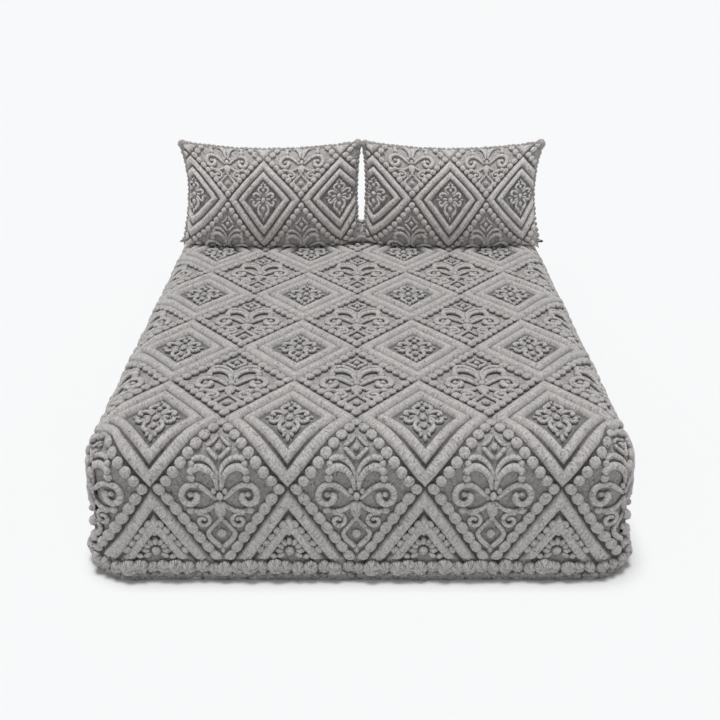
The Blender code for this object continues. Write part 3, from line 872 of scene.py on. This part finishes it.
def bobbles(bm, heights, size, pitch, stand, rng):
    """A row of bobbles whose middles lie at this height and stand out from the hem's wall."""
    flare = FLARE * (GROUND_TOP - FOLD_RADIUS - heights)
    half_x, half_y, radius = HALF_WIDTH + flare, HALF_LENGTH + flare, FOLD_RADIUS + flare
    girth = 4 * (STRAIGHT_X + STRAIGHT_Y) + 2 * math.pi * radius
    count = round(girth / pitch)
    for k in range(count):
        spot, out = round_hem(girth * (k + rng.uniform(-0.12, 0.12)) / count, half_x, half_y, radius)
        one, swell = new_bmesh(), rng.uniform(0.80, 1.15)
        width = pitch * swell * rng.uniform(1.1, 1.4)
        tuft(one, 0, 0, width, size * swell, 2 * stand * swell, rng.uniform(-0.9, 0.9), rings=7)
        along = Vector((-out.y, out.x, 0))
        turned = Matrix((along, Vector((0, 0, 1)), out)).transposed().to_4x4()
        back = Vector((0, 0, heights + rng.uniform(-0.10, 0.10) * size)) - 0.35 * stand * out
        bmesh.ops.transform(one, matrix=Matrix.Translation(spot + back) @ turned, verts=one.verts)
        add_to(bm, one)
    print(count, "bobbles at height", heights)


bm = new_bmesh()
rng = random.Random(4)
bobbles(bm, 0.050, 0.046, 0.0350, 0.0145, rng)
bobbles(bm, 0.0185, 0.027, 0.0260, 0.0055, rng)
layer = bm.verts.layers.float["height"]
for vertex in bm.verts:
    vertex.co += 0.0022 * noise.noise_vector(vertex.co * 60)
    vertex.co.z = max(vertex.co.z, 0.0008)
    # painted shade: the bobbles are painted darker towards the floor, from near the groove colour at the bottom
    # to near the crest colour at the top
    vertex[layer] = max(0.12, min(0.9, (vertex.co.z - 0.012) / 0.028))
hem = add_piece("hem_bobbles", bm, edging_plush)
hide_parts("hem_edging")

# %% [markdown]
# The mattress is only there to fill the cover. It is a block with rounded edges, made by bevelling first
# the upright edges and then the top, and it is covered in plain ticking.

# %% The mattress
ticking = bpy.data.materials.new("ticking")
ticking.use_nodes = True
tree = ticking.node_tree
shader = tree.nodes["Principled BSDF"]
shader.inputs["Roughness"].default_value = 0.85
weave = node(tree, "ShaderNodeTexWave", Scale=420.0, Distortion=1.5, Detail=1.0)
tree.links.new(tree.nodes.new("ShaderNodeTexCoord").outputs["Object"], weave.inputs["Vector"])
threads = ramp(tree, weave.outputs["Fac"], ((0.0, (0.66, 0.65, 0.62)), (1.0, (0.78, 0.77, 0.74))))
tree.links.new(threads, shader.inputs["Base Color"])
woven = node(tree, "ShaderNodeBump", Strength=0.4, Distance=0.0006)
tree.links.new(weave.outputs["Fac"], woven.inputs["Height"])
tree.links.new(woven.outputs["Normal"], shader.inputs["Normal"])

bm = new_bmesh()
height = GROUND_TOP - CLOTH - TOUCH
bmesh.ops.create_cube(bm, size=1)
bmesh.ops.transform(
    bm,
    matrix=Matrix.Translation((0, 0, height / 2)) @ Matrix.Diagonal((MATTRESS_WIDTH, MATTRESS_LENGTH, height, 1)),
    verts=bm.verts,
)
upright = [e for e in bm.edges if abs(e.verts[0].co.z - e.verts[1].co.z) > 0.1]
bmesh.ops.bevel(bm, geom=upright, offset=0.126, affect="EDGES", segments=8, profile=0.5, material=-1)
top = [e for e in bm.edges if min(v.co.z for v in e.verts) > height - 1e-4]
bmesh.ops.bevel(bm, geom=top, offset=0.1197, affect="EDGES", segments=8, profile=0.5, material=-1)
mattress = add_piece("mattress_block", bm, ticking)
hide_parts("mattress")

# %% [markdown]
# A pillow case starts as its flat front panel, cut from the same lattice, woven a little smaller.
# Extruding its rim and closing it gives the plain back panel. Both are creased in lines that crowd
# towards the seam, where a filled pillow curves most, and then filled.

# %% The two pillow cases
pillow_places = lattice(PANEL_X, PANEL_Y, PILLOW_WIDTH, PILLOW_LENGTH, (PILLOW_SHIFT, 0.0))
print({kind: len(places) for kind, places in pillow_places.items()}, "diamonds on a pillow")


def panel_lines(half, steps):
    return [half * math.sin(math.pi / 2 * i / steps) for i in range(1 - steps, steps)]


def pillow_case(name, node_name, centre_x):
    bm = new_bmesh()
    for kind, places in pillow_places.items():
        repeat(bm, diamonds[kind], places, PILLOW_SCALE)
    bmesh.ops.remove_doubles(bm, verts=bm.verts, dist=2e-5)
    for axis, half in enumerate((PANEL_X, PANEL_Y)):
        for side in (-1, 1):
            cut(bm, axis, side * half, clear=True)
    rim = [e for e in bm.edges if e.is_boundary]
    front = set(bm.verts)
    bmesh.ops.extrude_edge_only(bm, edges=rim)
    for vertex in bm.verts:
        if vertex not in front:
            vertex.co.z = -1.0
    back_rim = [e for e in bm.edges if e.is_boundary]
    bmesh.ops.edgeloop_fill(bm, edges=back_rim)
    for axis, (half, steps) in enumerate(((PANEL_X, 14), (PANEL_Y, 12))):
        for line in panel_lines(half, steps):
            cut(bm, axis, line)
    bmesh.ops.triangulate(bm, faces=[f for f in bm.faces if len(f.verts) > 4])
    back = {v for v in bm.verts if v.co.z < -0.5}
    uv = bm.loops.layers.uv["strands"]
    for face in bm.faces:
        if all(v in back for v in face.verts):
            for loop in face.loops:
                loop[uv].uv = loop.vert.co.xy
    for vertex in back:
        vertex.co.z = 0.0
    layer = bm.verts.layers.float["height"]
    for vertex in bm.verts:
        if vertex in back:
            vertex[layer] = 0.6
            vertex.co = fill(vertex.co, centre_x, -1)
        else:
            edge = 1 - max(abs(vertex.co.x) / PANEL_X, abs(vertex.co.y) / PANEL_Y)
            vertex.co = fill(uneven(vertex.co) if edge > 0.01 else vertex.co, centre_x)
    bmesh.ops.recalc_face_normals(bm, faces=bm.faces)
    case = add_piece(name, bm, lit_pillow_plush)
    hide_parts(node_name)


for side, centre_x in PILLOWS:
    pillow_case(f"pillow_case_{side}", f"pillow_{side}", centre_x)

# %% [markdown]
# The pillows carry the same ornament as the cover. Whatever crosses the seam is cut off just inside it.

# %% Ornament on the pillows


def trim_to_panel(bm):
    for axis, half in enumerate((PANEL_X, PANEL_Y)):
        for side in (-1, 1):
            cut(bm, axis, side * 0.985 * half, clear=True)
    bmesh.ops.holes_fill(bm, edges=[e for e in bm.edges if e.is_boundary], sides=0)


def pillow_ornament(side, centre_x):
    bm = new_bmesh()
    repeat(bm, beads, pillow_places["beaded"], PILLOW_SCALE)
    repeat(bm, flowers, pillow_places["beaded"], PILLOW_SCALE)
    repeat(bm, medallions, pillow_places["ridged"], PILLOW_SCALE)
    trim_to_panel(bm)
    set_height(bm, ORNAMENT_HEIGHT * PILLOW_SCALE[2])
    for vertex in bm.verts:
        vertex.co = fill(uneven(vertex.co), centre_x)
    bmesh.ops.recalc_face_normals(bm, faces=bm.faces)
    add_piece(f"pillow_ornament_{side}", bm, lit_pillow_plush)


for side, centre_x in PILLOWS:
    pillow_ornament(side, centre_x)

# %% [markdown]
# Round each pillow's seam runs a knotted edging, one tuft after another, with a fat one at each corner.
# Under the pillow it lies behind the seam, because the front of the pillow rests on the bed there.

# %% The knotted edging of the pillows


def pillow_edging(side, centre_x):
    inner = -math.copysign(1, centre_x)
    rng = random.Random(7)
    path = []
    corners = ((-1, -1), (1, -1), (1, 1), (-1, 1))
    for i, count in enumerate((38, 21, 38, 21)):
        start, end = corners[i], corners[(i + 1) % 4]
        for k in range(count):
            across, up = Vector(start).lerp(Vector(end), k / count)
            path.append((Vector(seam_line(across, up, inner)), up, k == 0))
    bm = new_bmesh()
    for i, (spot, up, corner) in enumerate(path):
        low = max(0.0, -up - 0.8) / 0.2
        along = (path[(i + 1) % len(path)][0] - path[i - 1][0]).normalized()
        out = Vector((along.y, -along.x))
        size = rng.uniform(0.021, 0.026) * (1.7 if corner else 1.0)
        one = new_bmesh()
        tuft(one, 0, 0, size, size * rng.uniform(0.95, 1.2), size, rng.uniform(-0.6, 0.6), rings=6)
        stand = -0.004 if corner else 0.001
        behind = low * (PILLOW_CORD - PILLOW_RIM / 2) - size / 2
        middle = Vector((spot.x + out.x * stand, behind, spot.y + out.y * stand))
        turned = Matrix(((out.x, 0, out.y), (along.x, 0, along.y), (0, 1, 0))).transposed().to_4x4()
        place = pillow_place(centre_x) @ Matrix.Translation(middle)
        hang = Matrix.Translation(droop(place.translation, up) - place.translation)
        bmesh.ops.transform(one, matrix=hang @ place @ turned, verts=one.verts)
        add_to(bm, one)
    layer = bm.verts.layers.float["height"]
    floor = GROUND_TOP + RIDGE + TOUCH
    for vertex in bm.verts:
        vertex[layer] = 0.85
        vertex.co += 0.0015 * noise.noise_vector(vertex.co * 80)
        vertex.co.z = max(vertex.co.z, floor)
    bmesh.ops.recalc_face_normals(bm, faces=bm.faces)
    made = add_piece(f"pillow_knots_{side}", bm, edging_plush)
    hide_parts(f"pillow_{side}_edging")


for side, centre_x in PILLOWS:
    pillow_edging(side, centre_x)

# %% [markdown]
# The bed stands on a plain pale floor under a soft light from overhead, which leaves shadow only where
# pieces meet. A weak light from the front and a dim even surround fill the sides.

# %% Floor, light and camera
floor_material = bpy.data.materials.new("floor")
floor_material.use_nodes = True
floor_material.node_tree.nodes["Principled BSDF"].inputs["Base Color"].default_value = (0.878, 0.883, 0.888, 1)
floor_material.node_tree.nodes["Principled BSDF"].inputs["Roughness"].default_value = 1.0
floor_material.node_tree.nodes["Principled BSDF"].inputs["Specular IOR Level"].default_value = 0.0
bm = bmesh.new()
bmesh.ops.create_grid(bm, x_segments=2, y_segments=2, size=60)
mesh = bpy.data.meshes.new("floor")
bm.to_mesh(mesh)
bm.free()
mesh.materials.append(floor_material)
floor = bpy.data.objects.new("floor", mesh)
bpy.context.scene.collection.objects.link(floor)

world = bpy.data.worlds.new("surround")
bpy.context.scene.world = world
world.use_nodes = True
world.node_tree.nodes["Background"].inputs["Color"].default_value = (0.985, 0.99, 1.0, 1)
world.node_tree.nodes["Background"].inputs["Strength"].default_value = 0.25


def add_sun(name, strength, tilt_x, tilt_y, softness):
    lamp = bpy.data.lights.new(name, "SUN")
    lamp.energy, lamp.angle = strength, math.radians(softness)
    made = bpy.data.objects.new(name, lamp)
    made.rotation_euler = (math.radians(tilt_x), math.radians(tilt_y), 0)
    bpy.context.scene.collection.objects.link(made)


add_sun("overhead", 2.42, 0, -3, 24)
add_sun("fill", 0.26, 48, 0, 60)

camera = bpy.data.cameras.new("camera")
camera.sensor_width, camera.lens = 36, 48.575
view = bpy.data.objects.new("camera", camera)
view.location = (0, -3.2968, 1.7998)
view.rotation_euler = (math.radians(90 - 25.86), 0, 0)
bpy.context.scene.collection.objects.link(view)
bpy.context.scene.camera = view
bpy.context.scene.view_settings.view_transform = "Standard"
print("camera at", tuple(view.location))
